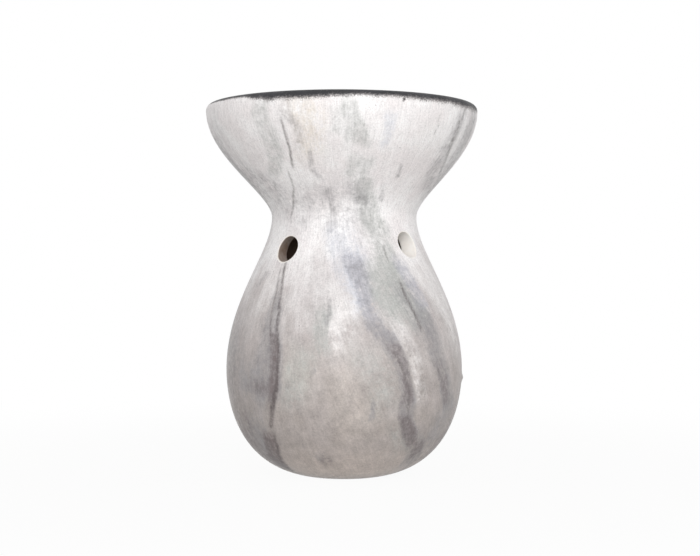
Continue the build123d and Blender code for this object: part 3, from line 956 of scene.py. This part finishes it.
# Tealight cup: drawn from thin aluminium, a little wider at the top, with a rounded corner and a rolled rim.
# It stands loose on the chamber floor and goes in and out through the doorway.
CUP_BASE_RADIUS = 18.6
CUP_RADIUS = 19.0
CUP_SHEET = 0.3
CUP_CORNER = 1.2
CUP_BEAD_RADIUS = 0.5
CUP_BASE_STEP = 0.25
CUP_BASE_STEP_RADIUS = 14.5
CUP_COLUMNS = 144
CORNER_STEPS = 9
BEAD_STEPS = 17
cup_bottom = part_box("tealight_cup")[0].z / MM
cup_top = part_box("tealight_cup")[1].z / MM
cup_floor = cup_bottom + CUP_SHEET
corner_middle = (CUP_BASE_RADIUS - CUP_CORNER, cup_bottom + CUP_CORNER)
bead_middle = (CUP_RADIUS - CUP_SHEET + CUP_BEAD_RADIUS, cup_top - CUP_BEAD_RADIUS)
wall_turn = np.degrees(np.arccos((CUP_RADIUS - bead_middle[0]) / CUP_BEAD_RADIUS))
cup_profile = np.concatenate([
    [(0, cup_bottom + CUP_BASE_STEP / 2), (POLE_RADIUS, cup_bottom + CUP_BASE_STEP / 2)],
    [(CUP_BASE_STEP_RADIUS - CUP_BASE_STEP, cup_bottom + CUP_BASE_STEP / 2)],
    [(CUP_BASE_STEP_RADIUS, cup_bottom)],
    arc(corner_middle, CUP_CORNER, -90, 0, CORNER_STEPS),
    arc(bead_middle, CUP_BEAD_RADIUS, -wall_turn, 180, BEAD_STEPS),
    arc(corner_middle, CUP_CORNER - CUP_SHEET, 0, -90, CORNER_STEPS),
    [(POLE_RADIUS, cup_floor), (0, cup_floor)],
])
cup_points, cup_quads, cup_low_fan, cup_high_fan = turned_solid(cup_profile, CUP_COLUMNS)

ALUMINIUM_COLOUR = srgb(222, 222, 224)
ALUMINIUM_DULL = srgb(188, 188, 191)
cup_aluminium, tree, shader, place = new_material("cup_aluminium")
upright = add(tree, "Mapping", {"Vector": place, "Scale": (1.0, 1.0, 0.06)})
draw_marks = noise(tree, upright, 0.5, 3.0, 0.6)
handling = noise(tree, place, 6.0, 4.0, 0.6)
fill(tree, shader, {
    "Base Color": lay(tree, rise(tree, handling, 0.4, 0.7), ALUMINIUM_COLOUR, ALUMINIUM_DULL),
    "Metallic": 1.0,
    "Roughness": rise(tree, draw_marks, 0.3, 0.7, 0.22, 0.4),
    "Normal": emboss(tree, draw_marks, 0.25, 0.05),
})

cup_faces = [[cup_quads, cup_low_fan, cup_high_fan]]
foil_cup, _, _ = make_piece("foil_cup", cup_points, cup_faces, [cup_aluminium])
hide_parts("tealight_cup")
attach(foil_cup, "tealight")

# Wick sustainer: a disc stamped from tinplate on the cup's floor, with a collar crimped round the wick.
# Wax covers it, so its plain shape stays as it is and only gets its metal.
TINPLATE_COLOUR = srgb(196, 197, 200)
TINPLATE_DULL = srgb(160, 160, 162)
SPANGLE_SIZE = 1.8
sustainer_tinplate, tree, shader, place = new_material("sustainer_tinplate")
spangle = add(tree, "TexVoronoi", {"Vector": place, "Scale": 1 / (SPANGLE_SIZE * MM)}).outputs["Color"]
spangle = add(tree, "SeparateXYZ", {"Vector": spangle}).outputs["X"]
fill(tree, shader, {
    "Base Color": lay(tree, spangle, TINPLATE_COLOUR, TINPLATE_DULL),
    "Metallic": 1.0,
    "Roughness": rise(tree, spangle, 0.0, 1.0, 0.26, 0.42),
})
wick_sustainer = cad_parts["wick_sustainer"]
wick_sustainer.data.materials.clear()
wick_sustainer.data.materials.append(sustainer_tinplate)

# Wax: white paraffin poured round the sustainer and the wick. It has shrunk off the cup's wall with a rounded
# edge, sinks a little towards the middle and has crept up the wick.
WAX_BOTTOM_RADIUS = 18.2
WAX_EDGE = 0.6
WAX_SINK = 0.35
WAX_CREEP = 0.5
WAX_CREEP_WIDTH = 1.6
WAX_COLUMNS = 120
WAX_ROWS = 40
WAX_EDGE_STEPS = 8
WICK_HOLE = 0.95
COLLAR_HOLE = 1.3
COLLAR_HOLE_HEIGHT = 3.05
SUSTAINER_HOLE = 6.55
SUSTAINER_HOLE_HEIGHT = 0.35
wax_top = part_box("tealight_wax")[1].z / MM
wax_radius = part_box("tealight_wax")[1].x / MM
wax_across = np.linspace(wax_radius - WAX_EDGE, WICK_HOLE, WAX_ROWS)
wax_level = wax_top - WAX_SINK * ease((wax_radius - wax_across) / wax_radius)
wax_level += WAX_CREEP * np.exp(-(wax_across - WICK_HOLE) / WAX_CREEP_WIDTH)
wax_profile = np.concatenate([
    [(SUSTAINER_HOLE, cup_floor + SUSTAINER_HOLE_HEIGHT), (SUSTAINER_HOLE, cup_floor)],
    arc((WAX_BOTTOM_RADIUS - CUP_CORNER, cup_floor + CUP_CORNER), CUP_CORNER, -90, 0, CORNER_STEPS),
    arc((wax_radius - WAX_EDGE, wax_top - WAX_EDGE), WAX_EDGE, 0, 80, WAX_EDGE_STEPS),
    np.stack([wax_across, wax_level], axis=1),
    [(WICK_HOLE, cup_floor + COLLAR_HOLE_HEIGHT), (COLLAR_HOLE, cup_floor + COLLAR_HOLE_HEIGHT)],
    [(COLLAR_HOLE, cup_floor + SUSTAINER_HOLE_HEIGHT)],
])
first_ring = np.arange(WAX_COLUMNS)
last_ring = first_ring + (len(wax_profile) - 1) * WAX_COLUMNS
wax_faces = [grid_quads(len(wax_profile), WAX_COLUMNS), strip(last_ring, first_ring)]

WAX_COLOUR = srgb(246, 244, 238)
WAX_SHADE = srgb(236, 232, 222)
white_wax, tree, shader, place = new_material("white_wax")
bloom = noise(tree, place, 3.5, 5.0, 0.6)
fill(tree, shader, {
    "Base Color": lay(tree, rise(tree, bloom, 0.35, 0.7), WAX_COLOUR, WAX_SHADE),
    "Roughness": rise(tree, bloom, 0.3, 0.7, 0.38, 0.6),
    "Subsurface Weight": 0.3,
    "Subsurface Scale": 2 * MM,
    "Normal": emboss(tree, bloom, 0.3, 0.2),
})
poured_wax, _, _ = make_piece("poured_wax", turned(wax_profile, WAX_COLUMNS), [wax_faces], [white_wax])
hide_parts("tealight_wax")
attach(poured_wax, "tealight")

# Wick: three waxed cotton yarns twisted together, held upright by the sustainer's collar. It goes straight
# through the wax and is bent over at the free end.
WICK_YARNS = 3
YARN_RADIUS = 0.47
YARN_OFFSET = 0.42
YARN_PITCH = 4.2
WICK_BARE_LENGTH = 5.0
WICK_BEND_RADIUS = 9.0
WICK_BEND = np.radians(25.0)


def twisted_wick(steps=110, sides=14):
    """Yarns round one line: upright, then an arc towards +X. Each yarn's middle circles the line once in a
    pitch, and its own ring stands square to the line. Gives the points, the quads and the end fans."""
    straight = wax_top + WICK_BARE_LENGTH - cup_floor
    along = np.linspace(0, straight + WICK_BEND_RADIUS * WICK_BEND, steps)[:, None]
    bend = np.maximum(along - straight, 0) / WICK_BEND_RADIUS
    line_x = WICK_BEND_RADIUS * (1 - np.cos(bend))
    line_z = cup_floor + np.minimum(along, straight) + WICK_BEND_RADIUS * np.sin(bend)
    ring = np.arange(sides) * 2 * np.pi / sides
    points, quads, fans = [], [], []
    for yarn in range(WICK_YARNS):
        turn = 2 * np.pi * (along / YARN_PITCH + yarn / WICK_YARNS)
        side = YARN_OFFSET * np.cos(turn) + YARN_RADIUS * np.cos(ring)
        depth = YARN_OFFSET * np.sin(turn) + YARN_RADIUS * np.sin(ring)
        tube = np.stack([line_x + side * np.cos(bend), depth, line_z - side * np.sin(bend)], axis=2)
        ends = tube[[0, -1]].mean(axis=1)
        start = yarn * (steps * sides + 2)
        first = start + np.arange(sides)
        last = first + (steps - 1) * sides
        points.extend([tube.reshape(-1, 3), ends])
        quads.append(grid_quads(steps, sides) + start)
        fans.append(fan(start + steps * sides, first)[:, ::-1])
        fans.append(fan(start + steps * sides + 1, last))
    return np.concatenate(points), [np.concatenate(quads), np.concatenate(fans)]


COTTON_COLOUR = srgb(240, 236, 226)
COTTON_SHADE = srgb(208, 200, 184)
wick_cotton, tree, shader, place = new_material("wick_cotton")
drawn_out = add(tree, "Mapping", {"Vector": place, "Scale": (1.0, 1.0, 0.25)})
cotton = noise(tree, drawn_out, 0.16, 3.0, 0.6)
fill(tree, shader, {
    "Base Color": lay(tree, rise(tree, cotton, 0.35, 0.7), COTTON_COLOUR, COTTON_SHADE),
    "Roughness": 0.7,
    "Sheen Weight": 0.2,
    "Normal": emboss(tree, cotton, 0.5, 0.06),
})
wick_points, wick_faces = twisted_wick()
twisted_cotton, _, _ = make_piece("twisted_cotton", wick_points, [wick_faces], [wick_cotton])
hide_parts("tealight_wick")
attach(twisted_cotton, "tealight")

# Studio: a pale floor that is white further off, a soft lamp in front and above, a wide low one under it, and
# light from all round.
FLOOR_REACH = 4.0
FLOOR_COLOUR = srgb(205, 204, 202)
FLOOR_WHITE_SHARE = 0.95
FLOOR_WHITE_NEAR = 0.06
FLOOR_WHITE_FAR = 0.3
LAMP_DISTANCE = 1.0
LAMP_AZIMUTH = np.radians(1.0)
# Each lamp's name, elevation, width, height and power
LAMPS = [
    ("front_lamp", np.radians(28.0), 0.55, 0.55, 2.5),
    ("low_lamp", np.radians(7.0), 0.7, 0.26, 3.3),
]
AMBIENT = 0.53


def seen_plainly(tree):
    """1 for what the camera, a reflection or glass sees of a surface, 0 for the light that it gives."""
    path = add(tree, "LightPath", {}).outputs
    seen = work(tree, "MAXIMUM", path["Is Camera Ray"], path["Is Glossy Ray"])
    return work(tree, "MAXIMUM", seen, path["Is Transmission Ray"])


floor_mesh = bpy.data.meshes.new("studio_floor")
reach = np.array([(-1, -1, 0), (1, -1, 0), (1, 1, 0), (-1, 1, 0)]) * FLOOR_REACH
floor_mesh.from_pydata(reach.tolist(), [], [(0, 1, 2, 3)])
studio_floor = new_object("studio_floor", floor_mesh)
floor_material, tree, shader, place = new_material("studio_floor")
fill(tree, shader, {"Base Color": FLOOR_COLOUR, "Roughness": 0.9})
away = add(tree, "VectorMath", {0: place}, operation="LENGTH").outputs["Value"]
share = rise(tree, away, FLOOR_WHITE_NEAR, FLOOR_WHITE_FAR, FLOOR_WHITE_SHARE, 1.0)
white = add(tree, "Emission", {})
mixed = add(tree, "MixShader", {0: times(tree, seen_plainly(tree), share), 1: shader, 2: white})
tree.links.new(mixed.outputs[0], tree.nodes["Material Output"].inputs["Surface"])
floor_mesh.materials.append(floor_material)

world = bpy.data.worlds.new("studio")
bpy.context.scene.world = world
world.use_nodes = True
tree = world.node_tree
strength = rise(tree, seen_plainly(tree), 0.0, 1.0, AMBIENT, 1.0)
fill(tree, tree.nodes["Background"], {"Color": (1, 1, 1, 1), "Strength": strength})

lamp_middle = Vector((0, 0, burner_height * MM / 2))
for name, elevation, wide, tall, power in LAMPS:
    lamp = new_object(name, bpy.data.lights.new(name, "AREA"))
    lamp.data.shape = "RECTANGLE"
    lamp.data.size = wide
    lamp.data.size_y = tall
    lamp.data.energy = power
    heading = Vector(around(np.cos(elevation), LAMP_AZIMUTH, np.sin(elevation))[0])
    lamp.location = lamp_middle + LAMP_DISTANCE * heading
    lamp.rotation_euler = (-heading).to_track_quat("-Z", "Y").to_euler()
bpy.context.scene.view_settings.view_transform = "Standard"
